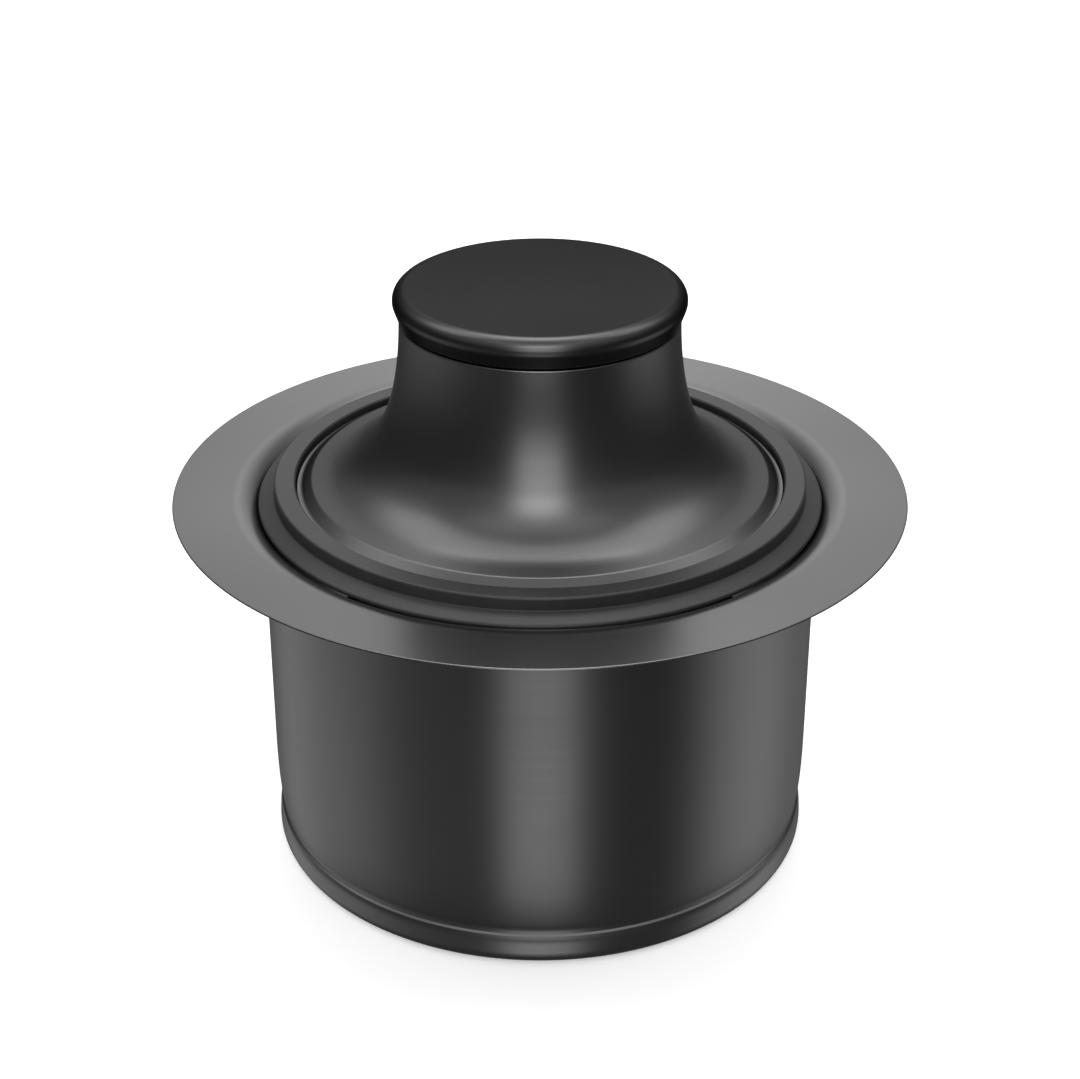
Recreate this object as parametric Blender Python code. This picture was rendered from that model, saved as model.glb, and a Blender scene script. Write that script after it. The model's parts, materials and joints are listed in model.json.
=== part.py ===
"""Sink flange with a drop-in stopper, for the drain hole above a food waste disposer.

The flange stands on its bottom bead with its centre line on world Z, and the
stopper is seated in its throat. Every piece but the guide, the core and the
split washer is a plain turned shape, built from a half section (radius, height).
"""

import math

import bmesh
import bpy

MM = 0.001

# Flange: one drawn steel sheet.
RIM_DIAMETER = 114.3 * MM
RIM_EDGE_THICKNESS = 0.3 * MM
RIM_THINS_FROM_RADIUS = 53.5 * MM
SHEET = 0.9 * MM
FLANGE_HEIGHT = 60.4 * MM
THROAT_DIAMETER = 85.2 * MM
ROLL_RADIUS = 5.4 * MM
BEAD_HEIGHT = 5.2 * MM
BEAD_INNER_RADIUS = 40.3 * MM
RING_GROOVE_DEPTH = 0.65 * MM
RING_GROOVE_TAPER = 6.3 * MM

# Stopper: heights are measured from the flat underside of the seal.
STOPPER_SHEET = 0.8 * MM
LIP_DIAMETER = 88.0 * MM
LIP_EDGE_RADIUS = 0.45 * MM
LIP_EDGE_HEIGHT = 0.05 * MM
LIP_SLOPE = 21.0
SEAL_STEP_RADIUS = 41.45 * MM
SEAL_STEP_HEIGHT = 1.3 * MM
SEAL_BAND_INNER_RADIUS = 38.15 * MM
SEAL_BORE_RADIUS = 31.0 * MM
SEAL_BAND_HEIGHT = 3.4 * MM
SEAL_WEB_HEIGHT = 1.2 * MM
BRIM_RADIUS = 37.85 * MM
DISH_FOOT_RADIUS = 37.1 * MM
DISH_EDGE_RADIUS = 35.65 * MM
DISH_EDGE_HEIGHT = 3.5 * MM
NECK_RADIUS = 21.4 * MM
SHELL_TOP = 29.3 * MM
CAP_RADIUS = 22.3 * MM
CAP_RIM_RADIUS = 2.0 * MM
CAP_BOTTOM = 29.65 * MM
CAP_TOP = 34.25 * MM
BOSS_RADIUS = 7.0 * MM
GUIDE_DEPTH = 18.0 * MM
FIN_RADIUS = 41.0 * MM
FIN_THICKNESS = 1.8 * MM
FIN_COUNT = 4
SCREW_RADIUS = 2.4 * MM
GAP = 0.3 * MM

STEPS_ROUND = 72
STEPS_SMALL = 32


def clear_scene():
    for obj in list(bpy.data.objects):
        bpy.data.objects.remove(obj)


def material(name, colour, metallic, roughness):
    made = bpy.data.materials.new(name)
    made.use_nodes = True
    shader = made.node_tree.nodes["Principled BSDF"]
    shader.inputs["Base Color"].default_value = (*colour, 1.0)
    shader.inputs["Metallic"].default_value = metallic
    shader.inputs["Roughness"].default_value = roughness
    return made


def arc(centre_r, centre_z, radius, start, end, steps):
    """Points of an arc in the half section, angles in degrees from +r towards +z."""
    points = []
    for i in range(steps + 1):
        angle = math.radians(start + (end - start) * i / steps)
        points.append((centre_r + radius * math.cos(angle), centre_z + radius * math.sin(angle)))
    return points


def smooth_through(knots, steps):
    """A Catmull-Rom curve through the knots."""
    ends = [knots[0]] + knots + [knots[-1]]
    points = []
    for i in range(1, len(ends) - 2):
        a, b, c, d = ends[i - 1], ends[i], ends[i + 1], ends[i + 2]
        for s in range(steps):
            t = s / steps
            weights = (
                -0.5 * t + t * t - 0.5 * t**3,
                1.0 - 2.5 * t * t + 1.5 * t**3,
                0.5 * t + 2.0 * t * t - 1.5 * t**3,
                -0.5 * t * t + 0.5 * t**3,
            )
            points.append(tuple(sum(w * p[axis] for w, p in zip(weights, (a, b, c, d))) for axis in (0, 1)))
    points.append(knots[-1])
    return points


def sheet_section(outside, thickness, keep=1):
    """Closes an open line of the half section into a sheet, whose body lies to the left of the line.

    The inside, which is hidden, holds every keep-th point only.
    """
    inside = []
    for i, (r, z) in enumerate(outside):
        before = outside[max(i - 1, 0)]
        after = outside[min(i + 1, len(outside) - 1)]
        along = (after[0] - before[0], after[1] - before[1])
        length = math.hypot(*along)
        if i % keep and i != len(outside) - 1:
            continue
        inside.append((r - along[1] / length * thickness, z + along[0] / length * thickness))
    return outside + inside[::-1]


def turned(name, section, surface, steps=STEPS_ROUND, lift=0.0, sharp_above=38.0):
    """A solid of revolution about Z from a closed half section. Points at radius 0 close on the axis."""
    body = bmesh.new()
    rings = []
    for radius, height in section:
        if radius < 1e-9:
            rings.append([body.verts.new((0.0, 0.0, height))])
            continue
        ring = []
        for i in range(steps):
            angle = 2.0 * math.pi * i / steps
            ring.append(body.verts.new((radius * math.cos(angle), radius * math.sin(angle), height)))
        rings.append(ring)
    for k, ring in enumerate(rings):
        other = rings[(k + 1) % len(rings)]
        for i in range(steps):
            j = (i + 1) % steps
            corners = [ring[i % len(ring)], ring[j % len(ring)], other[j % len(other)], other[i % len(other)]]
            corners = list(dict.fromkeys(corners))
            if len(corners) > 2:
                body.faces.new(corners)
    return finished(name, body, surface, lift, sharp_above)


def finished(name, body, surface, lift=0.0, sharp_above=38.0):
    bmesh.ops.recalc_face_normals(body, faces=body.faces)
    mesh = bpy.data.meshes.new(name)
    body.to_mesh(mesh)
    body.free()
    mesh.shade_smooth()
    mesh.set_sharp_from_angle(angle=math.radians(sharp_above))
    obj = bpy.data.objects.new(name, mesh)
    obj.location.z = lift
    obj.data.materials.append(surface)
    bpy.context.scene.collection.objects.link(obj)
    return obj


def extruded(outline, axis_a, axis_b, along, half):
    """A prism: the outline in the plane of axis_a and axis_b, swept to both sides along the third."""
    body = bmesh.new()
    sides = []
    for sign in (-1.0, 1.0):
        loop = []
        for a, b in outline:
            loop.append(
                body.verts.new([axis_a[k] * a + axis_b[k] * b + along[k] * half * sign for k in range(3)])
            )
        sides.append(loop)
    body.faces.new(sides[0])
    body.faces.new(sides[1])
    count = len(outline)
    for i in range(count):
        j = (i + 1) % count
        body.faces.new([sides[0][i], sides[0][j], sides[1][j], sides[1][i]])
    return body


def helper(name, body, lift=0.0):
    """An object that only a Boolean uses."""
    bmesh.ops.recalc_face_normals(body, faces=body.faces)
    mesh = bpy.data.meshes.new(name)
    body.to_mesh(mesh)
    body.free()
    obj = bpy.data.objects.new(name, mesh)
    obj.location.z = lift
    obj.hide_render = True
    obj.display_type = "WIRE"
    bpy.context.scene.collection.objects.link(obj)
    return obj


def combine(target, other, operation):
    step = target.modifiers.new(operation.lower() + "_" + other.name, "BOOLEAN")
    step.operation = operation
    step.solver = "EXACT"
    step.object = other


def flange_section():
    wall_inside = THROAT_DIAMETER / 2
    wall_outside = wall_inside + SHEET
    roll_centre = wall_inside + ROLL_RADIUS
    rim = RIM_DIAMETER / 2
    top = FLANGE_HEIGHT
    under = top - SHEET
    points = []
    # Underside of the rim, from the roll out to the thin edge.
    points.append((RIM_THINS_FROM_RADIUS, under))
    points.append((rim - 0.15 * MM, top - RIM_EDGE_THICKNESS))
    points.append((rim, top - RIM_EDGE_THICKNESS + 0.12 * MM))
    points.append((rim - 0.06 * MM, top - 0.03 * MM))
    points.append((rim - 0.2 * MM, top))
    # Top face, the roll into the throat and the throat wall.
    points += arc(roll_centre, top - ROLL_RADIUS, ROLL_RADIUS, 90, 180, 9)
    points.append((wall_inside, BEAD_HEIGHT + 3.4 * MM))
    # Hemmed bottom: the inside swells over the bead.
    # The wall's outside draws in above the bead, for a snap ring.
    swell = wall_inside - BEAD_INNER_RADIUS
    points.append((wall_inside - 0.12 * swell, BEAD_HEIGHT + 2.6 * MM))
    points.append((wall_inside - 0.5 * swell, BEAD_HEIGHT + 1.5 * MM))
    points.append((wall_inside - 0.9 * swell, BEAD_HEIGHT + 0.3 * MM))
    points.append((BEAD_INNER_RADIUS, BEAD_HEIGHT - 0.9 * MM))
    points += arc(BEAD_INNER_RADIUS + 0.6 * MM, 0.6 * MM, 0.6 * MM, 180, 270, 2)
    points += arc(wall_outside - 1.8 * MM, 1.8 * MM, 1.8 * MM, 270, 360, 5)
    points += arc(wall_outside - 0.3 * MM, BEAD_HEIGHT - 0.3 * MM, 0.3 * MM, 0, 70, 2)
    points.append((wall_outside - RING_GROOVE_DEPTH, BEAD_HEIGHT + 0.2 * MM))
    points.append((wall_outside - RING_GROOVE_DEPTH, BEAD_HEIGHT + 0.8 * MM))
    points.append((wall_outside - 0.62 * RING_GROOVE_DEPTH, BEAD_HEIGHT + 0.35 * RING_GROOVE_TAPER))
    points.append((wall_outside - 0.22 * RING_GROOVE_DEPTH, BEAD_HEIGHT + 0.65 * RING_GROOVE_TAPER))
    points.append((wall_outside, BEAD_HEIGHT + RING_GROOVE_TAPER))
    points.append((wall_outside, top - ROLL_RADIUS))
    points += arc(roll_centre, top - ROLL_RADIUS, ROLL_RADIUS - SHEET, 180, 90, 5)[1:]
    return points


def seat_height():
    """Where the lip's rounded edge meets the roll, one GAP clear of it."""
    reach = ROLL_RADIUS + LIP_EDGE_RADIUS + GAP
    across = THROAT_DIAMETER / 2 + ROLL_RADIUS - (LIP_DIAMETER / 2 - LIP_EDGE_RADIUS)
    return FLANGE_HEIGHT - ROLL_RADIUS + math.sqrt(reach**2 - across**2) - LIP_EDGE_HEIGHT


def shell_section():
    """A flat brim on the seal's web, a sloping edge, the dish, the flare and the neck, and a flat top."""
    brim_under = SEAL_WEB_HEIGHT + GAP
    brim_top = brim_under + STOPPER_SHEET
    top_under = SHELL_TOP - STOPPER_SHEET
    shoulder = 0.25 * MM
    wall = [(DISH_FOOT_RADIUS + 0.15 * MM, brim_top)]
    wall.append((DISH_FOOT_RADIUS - 0.1 * MM, brim_top + 0.12 * MM))
    wall.append((DISH_EDGE_RADIUS + 0.15 * MM, DISH_EDGE_HEIGHT - 0.12 * MM))
    wall.append((DISH_EDGE_RADIUS - 0.15 * MM, DISH_EDGE_HEIGHT + 0.02 * MM))
    flare = [
        (34.5 * MM, 3.75 * MM),
        (32.2 * MM, 4.4 * MM),
        (29.6 * MM, 5.75 * MM),
        (27.2 * MM, 7.85 * MM),
        (24.9 * MM, 11.1 * MM),
        (23.2 * MM, 15.4 * MM),
        (22.1 * MM, 20.4 * MM),
        (21.55 * MM, 25.4 * MM),
        (NECK_RADIUS, SHELL_TOP - shoulder),
    ]
    wall += smooth_through(flare, 2)
    sheet = sheet_section(wall, STOPPER_SHEET, 2)
    outside, inside = sheet[: len(wall)], sheet[len(wall) :]
    top = arc(NECK_RADIUS - shoulder, SHELL_TOP - shoulder, shoulder, 0, 90, 2)[1:]
    top += [(BOSS_RADIUS + GAP, SHELL_TOP), (BOSS_RADIUS + GAP, top_under)]
    top.append((NECK_RADIUS - STOPPER_SHEET, top_under))
    brim = [(DISH_FOOT_RADIUS - 0.2 * MM, brim_under), (BRIM_RADIUS, brim_under), (BRIM_RADIUS, brim_top)]
    # The inside's own end points give way to the sharp inner corners at the top and at the brim.
    return outside + top + inside[1:-1] + brim


def cap_line():
    """Outside of the knob cap: the skirt, which tapers down to the neck, the rounded rim and the flat top."""
    rim = CAP_RIM_RADIUS
    line = [(CAP_RADIUS - 0.82 * MM, CAP_BOTTOM)]
    line += arc(CAP_RADIUS - rim, CAP_TOP - rim, rim, -20, 84, 8)
    line.append((CAP_RADIUS - 1.75 * rim, CAP_TOP))
    return line


def cap_section():
    section = sheet_section(cap_line(), STOPPER_SHEET)
    half = len(section) // 2
    middle = [(0.0, CAP_TOP), (0.0, CAP_TOP - STOPPER_SHEET)]
    return section[:half] + middle + section[half:]


def core_section():
    pocket = SCREW_RADIUS + GAP + 1.3 * MM + GAP
    foot = SEAL_WEB_HEIGHT + 0.4 * MM
    return [
        (pocket, foot),
        (BOSS_RADIUS - 0.5 * MM, foot),
        (BOSS_RADIUS, foot + 0.5 * MM),
        (BOSS_RADIUS, SHELL_TOP + GAP),
        (19.9 * MM, SHELL_TOP + GAP),
        (19.9 * MM, CAP_BOTTOM + 0.9 * MM),
        (20.9 * MM, CAP_BOTTOM + 2.2 * MM),
        (20.7 * MM, CAP_TOP - STOPPER_SHEET - 0.7 * MM),
        (20.0 * MM, CAP_TOP - STOPPER_SHEET - GAP),
        (0.0, CAP_TOP - STOPPER_SHEET - GAP),
        (0.0, foot + 16.0 * MM),
        (SCREW_RADIUS + GAP, foot + 14.5 * MM),
        (SCREW_RADIUS + GAP, foot + 10.6 * MM),
        (pocket, foot + 10.6 * MM),
    ]


def insert_section():
    """A knurled brass bush: two collars with a waist between them, open at both ends."""
    bore = SCREW_RADIUS + GAP
    collar = bore + 1.3 * MM
    waist = collar - 0.45 * MM
    foot = SEAL_WEB_HEIGHT + 0.7 * MM
    top = foot + 10.0 * MM
    return [
        (bore + 0.3 * MM, foot),
        (collar - 0.2 * MM, foot),
        (collar, foot + 0.3 * MM),
        (collar, foot + 3.6 * MM),
        (waist, foot + 4.2 * MM),
        (waist, foot + 5.8 * MM),
        (collar, foot + 6.4 * MM),
        (collar, top - 0.3 * MM),
        (collar - 0.2 * MM, top),
        (bore, top),
        (bore, foot + 0.3 * MM),
    ]


def seal_section():
    """The web under the dish, the raised band round it, a step, and a lip that slopes down to the roll."""
    lip = LIP_DIAMETER / 2
    line = [(SEAL_BORE_RADIUS, 0.0)]
    line.append((SEAL_STEP_RADIUS - 0.25 * MM, 0.0))
    line += arc(lip - LIP_EDGE_RADIUS, LIP_EDGE_HEIGHT, LIP_EDGE_RADIUS, -90 - LIP_SLOPE, 90 - LIP_SLOPE, 6)
    line.append((SEAL_STEP_RADIUS + 0.15 * MM, SEAL_STEP_HEIGHT))
    line.append((SEAL_STEP_RADIUS, SEAL_STEP_HEIGHT + 0.15 * MM))
    line.append((SEAL_STEP_RADIUS, SEAL_BAND_HEIGHT - 0.32 * MM))
    line.append((SEAL_STEP_RADIUS - 0.1 * MM, SEAL_BAND_HEIGHT - 0.1 * MM))
    line.append((SEAL_STEP_RADIUS - 0.32 * MM, SEAL_BAND_HEIGHT))
    line.append((SEAL_BAND_INNER_RADIUS + 0.22 * MM, SEAL_BAND_HEIGHT))
    line.append((SEAL_BAND_INNER_RADIUS, SEAL_BAND_HEIGHT - 0.22 * MM))
    line.append((SEAL_BAND_INNER_RADIUS, SEAL_WEB_HEIGHT + 0.15 * MM))
    line.append((SEAL_BAND_INNER_RADIUS - 0.15 * MM, SEAL_WEB_HEIGHT))
    line.append((SEAL_BORE_RADIUS, SEAL_WEB_HEIGHT))
    return line


def ring_section(inner, outer, bottom, top, corner):
    """A flat ring with its outer corners broken."""
    return [
        (inner, bottom),
        (outer - corner, bottom),
        (outer, bottom + corner),
        (outer, top - corner),
        (outer - corner, top),
        (inner, top),
    ]


def plate_section():
    """A flat disc whose outer corners are broken."""
    top = -GAP
    bottom = top - 0.9 * MM
    return [
        (SCREW_RADIUS + GAP, bottom),
        (37.2 * MM, bottom),
        (37.5 * MM, bottom + 0.3 * MM),
        (37.5 * MM, top - 0.1 * MM),
        (37.4 * MM, top),
        (SCREW_RADIUS + GAP, top),
    ]


def guide_hub_section():
    top = -2 * GAP - 0.9 * MM
    return [
        (SCREW_RADIUS + GAP, top - 3.0 * MM),
        (8.6 * MM, top - 3.0 * MM),
        (9.0 * MM, top - 2.6 * MM),
        (9.0 * MM, top - 1.9 * MM),
        (9.4 * MM, top - 1.5 * MM),
        (33.7 * MM, top - 1.5 * MM),
        (34.0 * MM, top - 1.2 * MM),
        (34.0 * MM, top),
        (SCREW_RADIUS + GAP, top),
    ]


def fin_outline():
    """Side view of one pair of fins, which run right across through the hub's edge."""
    top = -2 * GAP - 0.9 * MM - 0.7 * MM
    return [
        (9.6 * MM, -9.6 * MM),
        (13.0 * MM, -14.2 * MM),
        (20.0 * MM, -GUIDE_DEPTH),
        (36.0 * MM, -GUIDE_DEPTH),
        (39.2 * MM, -GUIDE_DEPTH + 1.2 * MM),
        (40.5 * MM, -GUIDE_DEPTH + 4.0 * MM),
        (FIN_RADIUS, -GUIDE_DEPTH + 8.0 * MM),
        (FIN_RADIUS, -5.4 * MM),
        (40.2 * MM, -4.6 * MM),
        (33.0 * MM, top),
        (7.2 * MM, top),
        (7.2 * MM, -3.9 * MM),
        (9.0 * MM, -5.8 * MM),
    ]


def screw_section():
    """Pan head below, plain neck, then a thread drawn as ridges."""
    head_top = -7.6 * MM
    head_bottom = head_top - 2.9 * MM
    tip = 12.6 * MM
    points = [(0.0, head_bottom + 1.9 * MM), (0.9 * MM, head_bottom + 1.9 * MM), (1.7 * MM, head_bottom)]
    points += arc(4.75 * MM - 1.6 * MM, head_bottom + 1.6 * MM, 1.6 * MM, -90, 0, 4)
    points.append((4.75 * MM, head_top))
    points.append((SCREW_RADIUS, head_top))
    start = 1.0 * MM
    pitch = 0.8 * MM
    points.append((SCREW_RADIUS, start))
    count = int((tip - 0.8 * MM - start) / pitch)
    for i in range(count):
        points.append((SCREW_RADIUS - 0.35 * MM, start + (i + 0.5) * pitch))
        points.append((SCREW_RADIUS, start + (i + 1) * pitch))
    points.append((SCREW_RADIUS - 0.7 * MM, tip))
    points.append((0.0, tip))
    return points


def build_guide(surface, lift):
    guide = turned("centering_guide", guide_hub_section(), surface, 64, lift, 30.0)
    for i in range(FIN_COUNT):
        angle = 2.0 * math.pi * i / FIN_COUNT + math.pi / FIN_COUNT
        out = (math.cos(angle), math.sin(angle), 0.0)
        across = (-math.sin(angle), math.cos(angle), 0.0)
        fin = extruded(fin_outline(), out, (0.0, 0.0, 1.0), across, FIN_THICKNESS / 2)
        combine(guide, helper("fin_%d" % (i + 1), fin, lift), "UNION")
    return guide


def build_split_washer(surface, lift):
    ring = ring_section(SCREW_RADIUS + GAP, 4.5 * MM, -7.3 * MM, -6.1 * MM, 0.12 * MM)
    washer = turned("lock_washer", ring, surface, STEPS_SMALL, lift, 30.0)
    slot = [(1.0 * MM, -8.0 * MM), (6.0 * MM, -8.0 * MM), (6.0 * MM, -5.0 * MM), (1.0 * MM, -5.0 * MM)]
    cut = extruded(slot, (1.0, 0.0, 0.0), (0.0, 0.0, 1.0), (0.0, 1.0, 0.0), 0.35 * MM)
    combine(washer, helper("washer_slot", cut, lift), "DIFFERENCE")
    return washer


def build_screw(surface, lift):
    screw = turned("clamp_screw", screw_section(), surface, 24, lift, 30.0)
    for k in range(2):
        out = (1.0, 0.0, 0.0) if k else (0.0, 1.0, 0.0)
        across = (0.0, 1.0, 0.0) if k else (1.0, 0.0, 0.0)
        wing = [
            (-2.7 * MM, -11.2 * MM),
            (2.7 * MM, -11.2 * MM),
            (2.5 * MM, -9.4 * MM),
            (-2.5 * MM, -9.4 * MM),
        ]
        cut = extruded(wing, out, (0.0, 0.0, 1.0), across, 0.45 * MM)
        combine(screw, helper("cross_slot_%d" % (k + 1), cut, lift), "DIFFERENCE")
    return screw


def main():
    clear_scene()
    black_steel = material("black_steel", (0.045, 0.045, 0.047), 0.75, 0.34)
    cap_steel = material("cap_black_steel", (0.042, 0.042, 0.044), 0.75, 0.36)
    shell_steel = material("shell_black_steel", (0.045, 0.045, 0.047), 0.75, 0.34)
    rubber = material("black_rubber", (0.030, 0.030, 0.031), 0.0, 0.55)
    washer_rubber = material("washer_rubber", (0.022, 0.022, 0.022), 0.0, 0.65)
    nylon = material("black_nylon", (0.028, 0.028, 0.029), 0.0, 0.45)
    guide_nylon = material("guide_nylon", (0.032, 0.032, 0.033), 0.0, 0.42)
    brass = material("insert_brass", (0.66, 0.46, 0.18), 1.0, 0.3)
    bright_steel = material("bright_steel", (0.58, 0.58, 0.57), 1.0, 0.28)
    plate_steel = material("plate_steel", (0.50, 0.50, 0.50), 1.0, 0.33)
    washer_steel = material("washer_steel", (0.55, 0.55, 0.54), 1.0, 0.3)
    spring_steel = material("spring_steel", (0.42, 0.42, 0.42), 1.0, 0.38)

    seat = seat_height()
    turned("sink_flange", flange_section(), black_steel, STEPS_ROUND)
    turned("knob_cap", cap_section(), cap_steel, STEPS_ROUND, seat)
    turned("stopper_shell", shell_section(), shell_steel, STEPS_ROUND, seat)
    turned("seal_ring", seal_section(), rubber, STEPS_ROUND, seat, 32.0)
    turned("knob_core", core_section(), nylon, STEPS_SMALL, seat, 30.0)
    turned("threaded_insert", insert_section(), brass, STEPS_SMALL, seat, 30.0)
    sealing = ring_section(SCREW_RADIUS + GAP, 6.4 * MM, 0.0, SEAL_WEB_HEIGHT + 0.1 * MM, 0.35 * MM)
    turned("sealing_washer", sealing, washer_rubber, STEPS_SMALL, seat, 30.0)
    turned("retainer_plate", plate_section(), plate_steel, 72, seat, 30.0)
    build_guide(guide_nylon, seat)
    flat = ring_section(SCREW_RADIUS + GAP, 5.6 * MM, -5.8 * MM, -4.8 * MM, 0.1 * MM)
    turned("flat_washer", flat, washer_steel, STEPS_SMALL, seat, 30.0)
    build_split_washer(spring_steel, seat)
    build_screw(bright_steel, seat)


main()
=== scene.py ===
"""Looks for the sink flange and its stopper: satin black steel, rubber and nylon, in a soft studio."""

import json
import math

import bmesh  # noqa: E402
import bpy  # noqa: E402
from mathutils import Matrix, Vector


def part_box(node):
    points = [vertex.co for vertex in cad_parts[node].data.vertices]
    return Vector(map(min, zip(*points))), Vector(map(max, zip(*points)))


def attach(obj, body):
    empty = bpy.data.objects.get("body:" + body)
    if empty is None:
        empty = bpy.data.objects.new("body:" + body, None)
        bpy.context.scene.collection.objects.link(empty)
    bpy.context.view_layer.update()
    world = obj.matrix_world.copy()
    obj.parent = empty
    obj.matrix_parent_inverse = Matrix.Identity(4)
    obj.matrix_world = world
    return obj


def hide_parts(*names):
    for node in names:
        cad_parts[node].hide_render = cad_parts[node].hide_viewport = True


MM = 0.001
SHARP = 34.0  # degrees: a turn in an outline by more than this stays a sharp corner
FLAT = 3.4 * MM  # a longer line of an outline is a flat, and isn't rounded

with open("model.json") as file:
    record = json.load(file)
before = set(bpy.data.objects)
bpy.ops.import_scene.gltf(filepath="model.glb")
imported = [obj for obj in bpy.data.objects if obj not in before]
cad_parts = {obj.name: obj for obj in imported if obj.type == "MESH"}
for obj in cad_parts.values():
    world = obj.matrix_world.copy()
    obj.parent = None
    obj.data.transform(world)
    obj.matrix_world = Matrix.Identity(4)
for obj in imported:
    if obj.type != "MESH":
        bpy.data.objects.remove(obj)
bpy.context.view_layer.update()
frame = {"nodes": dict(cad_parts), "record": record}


# ---------------------------------------------------------------- node helpers


class Nodes:
    """Short names for building a node tree."""

    def __init__(self, tree):
        self.tree = tree

    def new(self, kind, **settings):
        node = self.tree.nodes.new(kind)
        for name, value in settings.items():
            setattr(node, name, value)
        return node

    def put(self, value, socket):
        """Links a socket to this one, or sets this one to a number."""
        if isinstance(value, bpy.types.NodeSocket):
            self.tree.links.new(value, socket)
        else:
            socket.default_value = value

    def math(self, operation, a, b=None, c=None, clamp=False):
        node = self.new("ShaderNodeMath", operation=operation, use_clamp=clamp)
        for value, socket in zip((a, b, c), node.inputs):
            if value is not None:
                self.put(value, socket)
        return node.outputs[0]

    def product(self, first, *others):
        for other in others:
            first = self.math("MULTIPLY", first, other)
        return first

    def length(self, a, b):
        """The length of a flat vector with the parts a and b."""
        return self.math("SQRT", self.math("ADD", self.product(a, a), self.product(b, b)))

    def smooth(self, value, low, high, to_low=0.0, to_high=1.0):
        """to_low up to low, to_high from high on, and a smooth step between them."""
        node = self.new("ShaderNodeMapRange", interpolation_type="SMOOTHSTEP")
        self.put(value, node.inputs["Value"])
        for name, number in zip(("From Min", "From Max", "To Min", "To Max"), (low, high, to_low, to_high)):
            self.put(number, node.inputs[name])
        return node.outputs["Result"]

    def window(self, value, low, high, soft):
        """1 between low and high, falling to 0 over soft on each side."""
        rise = self.smooth(value, low - soft, low + soft)
        fall = self.smooth(value, high - soft, high + soft, 1.0, 0.0)
        return self.product(rise, fall)

    def noise(self, vector, scale, detail=3.0, roughness=0.55, distortion=0.0):
        node = self.new("ShaderNodeTexNoise")
        self.put(vector, node.inputs["Vector"])
        self.put(scale, node.inputs["Scale"])
        self.put(detail, node.inputs["Detail"])
        self.put(roughness, node.inputs["Roughness"])
        self.put(distortion, node.inputs["Distortion"])
        return node.outputs["Fac"]

    def mix(self, factor, a, b):
        node = self.new("ShaderNodeMix", data_type="RGBA")
        self.put(factor, node.inputs["Factor"])
        self.put((*a, 1.0) if isinstance(a, tuple) else a, node.inputs["A"])
        self.put((*b, 1.0) if isinstance(b, tuple) else b, node.inputs["B"])
        return node.outputs["Result"]

    def bump(self, height, strength, distance, normal=None):
        node = self.new("ShaderNodeBump")
        self.put(strength, node.inputs["Strength"])
        self.put(distance, node.inputs["Distance"])
        self.put(height, node.inputs["Height"])
        if normal is not None:
            self.put(normal, node.inputs["Normal"])
        return node.outputs["Normal"]


def blank_material(name):
    made = bpy.data.materials.new(name)
    made.use_nodes = True
    nodes = Nodes(made.node_tree)
    return made, nodes, made.node_tree.nodes["Principled BSDF"]


def object_space(nodes):
    return nodes.new("ShaderNodeTexCoord").outputs["Object"]


def radius_and_height(nodes, position):
    """The distance from the turning axis, and the height."""
    split = nodes.new("ShaderNodeSeparateXYZ")
    nodes.put(position, split.inputs[0])
    x, y, z = split.outputs
    return nodes.length(x, y), z


def turned_space(nodes, position, density):
    """Coordinates that run with the distance from the axis and the height: patterns become turning lines."""
    radius, height = radius_and_height(nodes, position)
    joined = nodes.new("ShaderNodeCombineXYZ")
    nodes.put(nodes.product(radius, density), joined.inputs[0])
    nodes.put(nodes.product(height, density), joined.inputs[1])
    return joined.outputs[0]


def near_rings(nodes, position, corners, reach):
    """1 on the rings (radius, height) given, falling to 0 at reach from them."""
    radius, height = radius_and_height(nodes, position)
    total = 0.0
    for ring_radius, ring_height in corners:
        outward = nodes.math("SUBTRACT", radius, ring_radius)
        upward = nodes.math("SUBTRACT", height, ring_height)
        near = nodes.smooth(nodes.length(outward, upward), 0.0, reach, 1.0, 0.0)
        total = nodes.math("MAXIMUM", near, total)
    return total


def shaded(colour, factor):
    return tuple(part * factor for part in colour)


# ---------------------------------------------------------------- materials


def coated_steel(name, colour, roughness, corners, lines=1.0, grazing=1.0):
    """Black coating on drawn steel: satin, with turning lines, a fine grain, faint smears and rubbed edges.

    corners are the rings (radius, height) where the coating is rubbed thin. A lines value under 1 makes the
    turning lines weaker, and a grazing value under 1 makes the coating shine less at flat angles.
    """
    made, nodes, shader = blank_material(name)
    position = object_space(nodes)
    smear = nodes.noise(position, 38.0, 4.0, 0.6, 0.6)
    cloud = nodes.noise(position, 11.0, 2.0, 0.5)
    grain = nodes.noise(position, 2600.0, 2.0, 0.6)
    turning = nodes.noise(turned_space(nodes, position, 900.0), 1.0, 3.0, 0.7)
    tone = nodes.mix(nodes.smooth(cloud, 0.3, 0.7), shaded(colour, 0.88), shaded(colour, 1.13))
    worn = near_rings(nodes, position, corners, 0.45 * MM)
    patchy = nodes.product(worn, nodes.smooth(smear, 0.35, 0.75, 0.15, 0.6))
    nodes.put(nodes.mix(patchy, tone, shaded(colour, 2.2)), shader.inputs["Base Color"])
    uneven = nodes.math("MULTIPLY_ADD", smear, 0.07, roughness - 0.035)
    uneven = nodes.math("MULTIPLY_ADD", turning, 0.05 * lines, uneven)
    nodes.put(uneven, shader.inputs["Roughness"])
    fine = nodes.bump(grain, 0.05, 0.02 * MM)
    nodes.put(nodes.bump(turning, 0.035 * lines, 0.03 * MM, fine), shader.inputs["Normal"])
    shader.inputs["Metallic"].default_value = 1.0
    shader.inputs["Specular Tint"].default_value = (grazing, grazing, grazing, 1.0)
    return made


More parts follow.
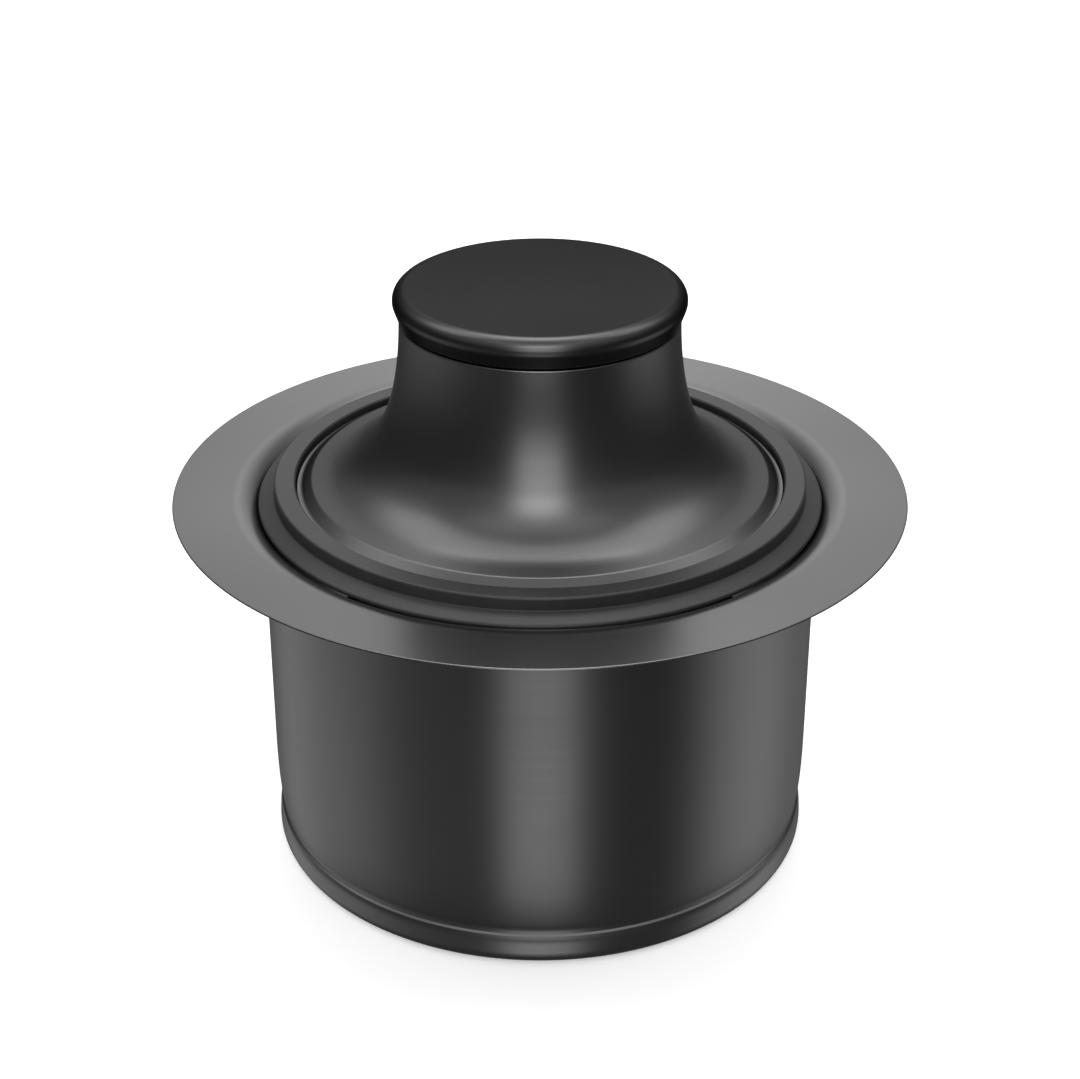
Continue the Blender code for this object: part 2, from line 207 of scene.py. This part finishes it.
def moulded_rubber(name, colour, roughness, shine):
    """Smooth moulded rubber: nearly matte, with a fine skin and a trace of dust."""
    made, nodes, shader = blank_material(name)
    position = object_space(nodes)
    dust = nodes.noise(position, 60.0, 5.0, 0.65, 0.4)
    skin = nodes.noise(position, 1800.0, 3.0, 0.6)
    ripple = nodes.noise(position, 140.0, 2.0, 0.5)
    dusty = tuple(part * 1.5 + 0.003 for part in colour)
    nodes.put(nodes.mix(nodes.smooth(dust, 0.4, 0.75), colour, dusty), shader.inputs["Base Color"])
    nodes.put(nodes.math("MULTIPLY_ADD", dust, 0.14, roughness - 0.07), shader.inputs["Roughness"])
    soft = nodes.bump(ripple, 0.06, 0.2 * MM)
    nodes.put(nodes.bump(skin, 0.12, 0.03 * MM, soft), shader.inputs["Normal"])
    shader.inputs["Specular IOR Level"].default_value = shine
    return made


def moulded_nylon(name, colour, roughness):
    """Glass filled nylon: a spark-eroded texture with faint flow marks."""
    made, nodes, shader = blank_material(name)
    position = object_space(nodes)
    flow = nodes.noise(position, 26.0, 3.0, 0.5, 1.2)
    pits = nodes.new("ShaderNodeTexVoronoi")
    nodes.put(position, pits.inputs["Vector"])
    pits.inputs["Scale"].default_value = 1500.0
    nodes.put(nodes.mix(flow, shaded(colour, 0.8), shaded(colour, 1.3)), shader.inputs["Base Color"])
    nodes.put(nodes.math("MULTIPLY_ADD", flow, 0.16, roughness - 0.08), shader.inputs["Roughness"])
    nodes.put(nodes.bump(pits.outputs["Distance"], 0.2, 0.06 * MM), shader.inputs["Normal"])
    return made


def bare_metal(name, colour, roughness, density, stain):
    """Uncoated metal with turning lines, close together for a high density, and a little tarnish."""
    made, nodes, shader = blank_material(name)
    position = object_space(nodes)
    lines = nodes.noise(turned_space(nodes, position, density), 1.0, 4.0, 0.75)
    patches = nodes.noise(position, 120.0, 4.0, 0.6, 0.5)
    nodes.put(nodes.mix(nodes.smooth(patches, 0.45, 0.8), colour, stain), shader.inputs["Base Color"])
    uneven = nodes.math("MULTIPLY_ADD", lines, 0.16, roughness - 0.08)
    uneven = nodes.math("MULTIPLY_ADD", patches, 0.12, uneven)
    nodes.put(uneven, shader.inputs["Roughness"])
    nodes.put(nodes.bump(lines, 0.15, 0.04 * MM), shader.inputs["Normal"])
    shader.inputs["Metallic"].default_value = 1.0
    return made


# ---------------------------------------------------------------- shapes


def rings_of(node):
    """The rings of a turned node as (radius, height), and which rings each ring's edges lead on to."""
    mesh = frame["nodes"][node].data
    same = 0.004 * MM
    rings = []
    ring_at = []
    for vertex in mesh.vertices:
        radius = math.hypot(vertex.co.x, vertex.co.y)
        for k, (r, z) in enumerate(rings):
            if abs(r - radius) < same and abs(z - vertex.co.z) < same:
                ring_at.append(k)
                break
        else:
            ring_at.append(len(rings))
            rings.append((radius, vertex.co.z))
    leads = {k: set() for k in range(len(rings))}
    for edge in mesh.edges:
        a, b = (ring_at[v] for v in edge.vertices)
        if a != b:
            leads[a].add(b)
            leads[b].add(a)
    return rings, leads


def section_of(node):
    """The half section of a turned node, in order, read from the CAD. It is open where it meets the axis."""
    rings, leads = rings_of(node)
    ends = [k for k, near in leads.items() if len(near) == 1]
    at = ends[0] if ends else 0
    order = [at]
    while True:
        onward = [k for k in sorted(leads[at]) if k not in order]
        if not onward:
            break
        at = onward[0]
        order.append(at)
    if len(order) != len(rings) or max(len(near) for near in leads.values()) > 2:
        raise RuntimeError(node + " isn't a plain turned shape")
    return [rings[k] for k in order], not ends


def refined(section, closed):
    """Rounds the lines of the section's curves. Flats stay straight and sharp corners stay sharp.

    A line counts as a flat when it is longer than FLAT, and beside a curve also when it is much longer than
    the curve's own line. A rounded line is cut so that each piece turns by about 2.5 degrees.
    """
    much_longer = 2.2
    finest_turn = 2.5
    most_cuts = 10
    count = len(section)
    last = count if closed else count - 1

    def line(i):
        a, b = section[i % count], section[(i + 1) % count]
        length = math.hypot(b[0] - a[0], b[1] - a[1])
        return length, ((b[0] - a[0]) / length, (b[1] - a[1]) / length)

    def turn_at(i):
        if not closed and i % count in (0, count - 1):
            return 180.0
        into, out = line(i - 1)[1], line(i)[1]
        change = math.atan2(out[1], out[0]) - math.atan2(into[1], into[0])
        return math.degrees(abs((change + math.pi) % (2 * math.pi) - math.pi))

    def heading(i, own):
        """The curve's direction at point i, as seen by the line that starts at own."""
        if turn_at(i) > SHARP:
            return line(own)[1]
        (before, into), (after, out) = line(i - 1), line(i)
        if before > FLAT or before > much_longer * after:
            return into
        if after > FLAT or after > much_longer * before:
            return out
        both = [into[k] * after + out[k] * before for k in (0, 1)]
        size = math.hypot(*both)
        return (both[0] / size, both[1] / size)

    low = [min(point[k] for point in section) for k in (0, 1)]
    high = [max(point[k] for point in section) for k in (0, 1)]
    points = []
    for i in range(last):
        a, b = section[i], section[(i + 1) % count]
        length, _ = line(i)
        points.append(a)
        if length > FLAT:
            continue
        leave, reach = heading(i, i), heading(i + 1, i)
        bend = sum(turn for turn in (turn_at(i), turn_at(i + 1)) if turn <= SHARP)
        cuts = min(math.ceil(bend / finest_turn), most_cuts)
        for s in range(1, cuts):
            t = s / cuts
            at_a, at_b = 2 * t**3 - 3 * t * t + 1, 3 * t * t - 2 * t**3
            from_a, from_b = (t**3 - 2 * t * t + t) * length, (t**3 - t * t) * length
            made = [at_a * a[k] + from_a * leave[k] + at_b * b[k] + from_b * reach[k] for k in (0, 1)]
            points.append(tuple(min(max(made[k], low[k]), high[k]) for k in (0, 1)))
    if not closed:
        points.append(section[-1])
    return points


def with_supports(section, closed):
    """Adds a point near each end of every long line, so that smooth shading leaves the flats flat."""
    inset = 0.12 * MM
    points = []
    count = len(section)
    for i, (r, z) in enumerate(section):
        points.append((r, z))
        if i == count - 1 and not closed:
            break
        r2, z2 = section[(i + 1) % count]
        length = math.hypot(r2 - r, z2 - z)
        if length > FLAT:
            for share in (inset / length, 1.0 - inset / length):
                points.append((r + (r2 - r) * share, z + (z2 - z) * share))
    return points


def softened_groove(section):
    """The flange's outside near the bead: the bead bulges, and the wall draws in slowly above it.

    It stays within 0.35 mm of the CAD, which has this stretch in a few straight lines.
    """
    low, high = 1.9 * MM, 12.0 * MM
    groove_top, groove_depth, taper_height, slowness = 5.9 * MM, 0.65 * MM, 13.8 * MM, 3.2
    wall = max(r for r, z in section if z < high)
    old = [i for i, (r, z) in enumerate(section) if r > wall - 0.8 * MM and low < z < high]
    bulge = ((0.04, 3.0), (0.18, 4.4), (0.35, 5.05), (0.65, 5.3))  # mm in from the wall, and mm high
    made = [(wall - inward * MM, height * MM) for inward, height in bulge]
    for share in (0.0, 0.08, 0.18, 0.32, 0.48, 0.66, 0.83, 1.0):
        inward = groove_depth * (1.0 - share) ** slowness
        made.append((wall - inward, groove_top + taper_height * share))
    if section[old[0]][1] > section[old[-1]][1]:
        made.reverse()
    return section[: old[0]] + made + section[old[-1] + 1 :]


def body_of(node):
    for body, members in frame["record"]["behaviour"]["bodies"].items():
        if node in members:
            return body


def turned_piece(name, node, material, steps=288, shaped=None):
    """The CAD's own half section, turned again with many more steps, so it reads as round from close up.

    shaped, where it is given, is a function that changes the section first.
    """
    on_axis = 1e-6
    section, closed = section_of(node)
    if shaped:
        section = shaped(section)
    points = with_supports(refined(section, closed), closed)
    if not closed:
        points = [(0.0, points[0][1])] * (points[0][0] > on_axis) + points
        points = points + [(0.0, points[-1][1])] * (points[-1][0] > on_axis)
    body = bmesh.new()
    rings = []
    for r, z in points:
        if r < on_axis:
            rings.append([body.verts.new((0.0, 0.0, z))])
            continue
        turn = [2.0 * math.pi * i / steps for i in range(steps)]
        rings.append([body.verts.new((r * math.cos(t), r * math.sin(t), z)) for t in turn])
    for k in range(len(rings) if closed else len(rings) - 1):
        a, b = rings[k], rings[(k + 1) % len(rings)]
        for i in range(steps):
            j = (i + 1) % steps
            corners = [a[i % len(a)], a[j % len(a)], b[j % len(b)], b[i % len(b)]]
            body.faces.new(list(dict.fromkeys(corners)))
    bmesh.ops.recalc_face_normals(body, faces=body.faces)
    mesh = bpy.data.meshes.new(name)
    body.to_mesh(mesh)
    body.free()
    mesh.shade_smooth()
    mesh.set_sharp_from_angle(angle=math.radians(SHARP))
    mesh.materials.append(material)
    piece = bpy.data.objects.new(name, mesh)
    bpy.context.scene.collection.objects.link(piece)
    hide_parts(node)
    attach(piece, body_of(node))


def dress(node, material):
    """Puts a material on a CAD node that stays, and rounds its shading and its edges a little."""
    obj = frame["nodes"][node]
    if not obj.material_slots:
        obj.data.materials.append(material)
    for slot in obj.material_slots:
        slot.material = material
    weld = obj.modifiers.new("weld", "WELD")
    weld.merge_threshold = 0.002 * MM
    edges = obj.modifiers.new("edges", "BEVEL")
    edges.limit_method = "ANGLE"
    edges.angle_limit = math.radians(35.0)
    edges.width = 0.12 * MM
    edges.segments = 2
    edges.harden_normals = True


def outer_corners(node, first, past):
    """Some of the sharp corners of a turned node, counted from the one furthest from the axis inwards."""
    section, closed = section_of(node)
    count = len(section)
    found = []
    for i in range(0 if closed else 1, count if closed else count - 1):
        before, here, after = section[i - 1], section[i], section[(i + 1) % count]
        into = math.atan2(here[1] - before[1], here[0] - before[0])
        out = math.atan2(after[1] - here[1], after[0] - here[0])
        turn = abs((out - into + math.pi) % (2 * math.pi) - math.pi)
        if turn > math.radians(SHARP):
            found.append(here)
    found.sort(key=lambda ring: -ring[0])
    return found[first:past]


# ---------------------------------------------------------------- pieces

hem_corner = outer_corners("sink_flange", 4, 5)
brim_edges = outer_corners("stopper_shell", 0, 2)
skirt_edges = outer_corners("knob_cap", 0, 2)
flange_steel = coated_steel("satin_black_flange", (0.112, 0.112, 0.114), 0.27, hem_corner)
# Painted shade: the shell is a darker copy of the flange's coating and shines less at flat angles, so the
# flare's sides read darker.
shell_steel_painted_shade = coated_steel("satin_black_shell_painted_shade", (0.098, 0.098, 0.100), 0.28, brim_edges, grazing=0.55)
# Painted shade: the cap is a much darker copy of the same coating, with little shine at flat angles, so its
# top reads darker.
cap_steel_painted_shade = coated_steel("satin_black_cap_painted_shade", (0.069, 0.069, 0.070), 0.27, skirt_edges, lines=0.6, grazing=0.3)
seal_rubber = moulded_rubber("black_seal_rubber", (0.015, 0.015, 0.0155), 0.45, 0.3)
washer_rubber = moulded_rubber("grey_washer_rubber", (0.022, 0.022, 0.022), 0.6, 0.5)
core_nylon = moulded_nylon("core_nylon", (0.030, 0.030, 0.031), 0.45)
guide_nylon = moulded_nylon("guide_nylon", (0.034, 0.034, 0.035), 0.42)
brass = bare_metal("turned_brass", (0.66, 0.46, 0.18), 0.3, 2600.0, (0.40, 0.26, 0.10))
plate = bare_metal("rolled_plate", (0.50, 0.50, 0.50), 0.33, 700.0, (0.38, 0.37, 0.36))
washer = bare_metal("stamped_washer", (0.55, 0.55, 0.54), 0.3, 1800.0, (0.42, 0.41, 0.40))
spring = bare_metal("spring_washer", (0.40, 0.40, 0.40), 0.38, 2400.0, (0.28, 0.27, 0.26))
screw = bare_metal("screw_steel", (0.58, 0.58, 0.57), 0.26, 2000.0, (0.45, 0.44, 0.43))

turned_piece("drawn_flange", "sink_flange", flange_steel, shaped=softened_groove)
turned_piece("drawn_shell", "stopper_shell", shell_steel_painted_shade)
turned_piece("pressed_cap", "knob_cap", cap_steel_painted_shade)
turned_piece("moulded_seal", "seal_ring", seal_rubber)
turned_piece("cut_washer", "sealing_washer", washer_rubber, 96)
turned_piece("moulded_core", "knob_core", core_nylon, 144)
turned_piece("turned_insert", "threaded_insert", brass, 96)
turned_piece("pressed_plate", "retainer_plate", plate, 240)
turned_piece("stamped_flat_washer", "flat_washer", washer, 96)
dress("centering_guide", guide_nylon)
dress("lock_washer", spring)
dress("clamp_screw", screw)


# ---------------------------------------------------------------- studio


def pale_floor():
    """A plain white floor, just under the object. The object's own shine doesn't mirror it."""
    mesh = bpy.data.meshes.new("studio_floor")
    body = bmesh.new()
    reach, height = 4.0, -0.2 * MM
    corners = ((-reach, -reach), (reach, -reach), (reach, reach), (-reach, reach))
    body.faces.new([body.verts.new((x, y, height)) for x, y in corners])
    body.to_mesh(mesh)
    body.free()
    floor = bpy.data.objects.new("studio_floor", mesh)
    bpy.context.scene.collection.objects.link(floor)
    made, nodes, shader = blank_material("pale_floor")
    patches = nodes.noise(object_space(nodes), 3.0, 2.0, 0.5)
    nodes.put(nodes.mix(patches, (0.88, 0.88, 0.88), (0.90, 0.90, 0.90)), shader.inputs["Base Color"])
    shader.inputs["Roughness"].default_value = 0.9
    shader.inputs["Specular IOR Level"].default_value = 0.0
    shader.inputs["Emission Color"].default_value = (1.0, 1.0, 1.0, 1.0)
    shader.inputs["Emission Strength"].default_value = 0.3
    mesh.materials.append(made)
    floor.visible_glossy = False


def studio_world():
    """A soft studio as light from far away: strips in front, and panels at the sides, behind and overhead.

    Angles are in degrees. Azimuth 0 is in front (-Y) and 90 is at the right (+X).
    """
    world = bpy.data.worlds.new("studio")
    bpy.context.scene.world = world
    world.use_nodes = True
    nodes = Nodes(world.node_tree)
    background = world.node_tree.nodes["Background"]
    split = nodes.new("ShaderNodeSeparateXYZ")
    nodes.put(nodes.new("ShaderNodeTexCoord").outputs["Generated"], split.inputs[0])
    x, y, z = split.outputs
    forward = nodes.product(y, -1.0)
    degrees = 180.0 / math.pi
    elevation = nodes.product(nodes.math("ARCSINE", z), degrees)
    azimuth = nodes.product(nodes.math("ARCTAN2", x, forward), degrees)
    across = nodes.product(nodes.math("ARCSINE", x), degrees)
    # How far a direction leans from straight up towards the back.
    lean = nodes.product(nodes.math("ARCTAN2", forward, z), -degrees)

    def panel(azimuths, heights, power, soft_sides, soft_low, soft_high):
        sides = nodes.window(azimuth, azimuths[0], azimuths[1], soft_sides)
        rise = nodes.smooth(elevation, heights[0] - soft_low, heights[0] + soft_low)
        fall = nodes.smooth(elevation, heights[1] - soft_high, heights[1] + soft_high, 1.0, 0.0)
        return nodes.product(sides, rise, fall, power)

    def overhead(leans, soft_lean, reach, soft_reach, power):
        above = nodes.smooth(z, 0.0, 0.2)
        along = nodes.window(lean, leans[0], leans[1], soft_lean)
        return nodes.product(along, nodes.window(across, -reach, reach, soft_reach), above, power)

    def back_panel():
        """It spans azimuth 180, so it works with the azimuth's size. It is brightest straight behind."""
        turned_back = nodes.math("ABSOLUTE", azimuth)
        sides = nodes.smooth(turned_back, 150.0, 169.0)
        middle = nodes.smooth(turned_back, 168.0, 180.0, 0.97, 1.5)
        foot = nodes.smooth(elevation, -10.0, 6.0)
        rising = nodes.smooth(elevation, 8.0, 34.0, 0.78, 0.95)
        fading = nodes.smooth(elevation, 40.0, 58.0, 1.0, 0.4)
        return nodes.product(sides, middle, foot, rising, fading)

    lights = [
        # In front: low down for the wall and the bead, and higher up for the flare of the stopper.
        panel((-15.0, 15.0), (-39.5, -23.0), 2.0, 6.0, 12.0, 7.0),
        panel((-16.0, 16.0), (-3.0, 48.0), 2.75, 6.0, 7.0, 7.0),
        panel((-18.0, 18.0), (33.0, 47.0), 2.5, 7.0, 5.0, 5.0),
        # Left and right: each side has a wide panel and a faint wider one round it.
        panel((-138.0, -70.0), (-43.0, -18.0), 0.55, 22.0, 11.0, 9.0),
        panel((-140.0, -30.0), (-43.0, -18.0), 0.16, 14.0, 11.0, 9.0),
        panel((74.0, 120.0), (-43.0, -18.0), 0.84, 20.0, 11.0, 9.0),
        panel((70.0, 152.0), (-43.0, -18.0), 0.16, 12.0, 11.0, 9.0),
        # High in front, and a band all round.
        panel((-60.0, 60.0), (47.0, 76.0), 0.9, 20.0, 6.0, 6.0),
        nodes.product(nodes.window(elevation, 20.0, 62.0, 8.0), 0.38),
        back_panel(),
        # Overhead: a wide one, and a narrow bright one for the ring of the dish.
        overhead((-4.0, 34.0), 7.0, 48.0, 10.0, 2.3),
        overhead((17.0, 32.0), 6.0, 10.0, 12.0, 5.5),
    ]
    total = 0.14
    for light in lights:
        total = nodes.math("ADD", light, total)
    # Seen directly, past the floor's far edge, the studio is the same white as the floor.
    seen = nodes.new("ShaderNodeLightPath").outputs["Is Camera Ray"]
    unseen = nodes.math("SUBTRACT", 1.0, seen)
    nodes.put(nodes.math("ADD", nodes.product(total, unseen), seen), background.inputs["Strength"])
    background.inputs["Color"].default_value = (1.0, 1.0, 1.0, 1.0)
    world.cycles.sampling_method = "MANUAL"
    world.cycles.sample_map_resolution = 1024


def camera():
    """Looks down at the rim by 26 degrees from 348 mm, as the flange is seen."""
    rim_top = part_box("sink_flange")[1][2]
    distance = 348.1 * MM
    elevation = math.radians(25.95)
    place = (0.0, -distance * math.cos(elevation), rim_top + distance * math.sin(elevation))
    data = bpy.data.cameras.new("camera")
    data.sensor_width = 36.0
    data.lens = 73.9
    data.clip_start = 10.0 * MM
    obj = bpy.data.objects.new("camera", data)
    bpy.context.scene.collection.objects.link(obj)
    obj.location = place
    aim_height = rim_top - 10.0 * MM
    drop = math.atan2(place[2] - aim_height, -place[1])
    obj.rotation_euler = (math.pi / 2 - drop, 0.0, 0.0)
    bpy.context.scene.camera = obj


pale_floor()
studio_world()
camera()
bpy.context.scene.view_settings.view_transform = "Standard"
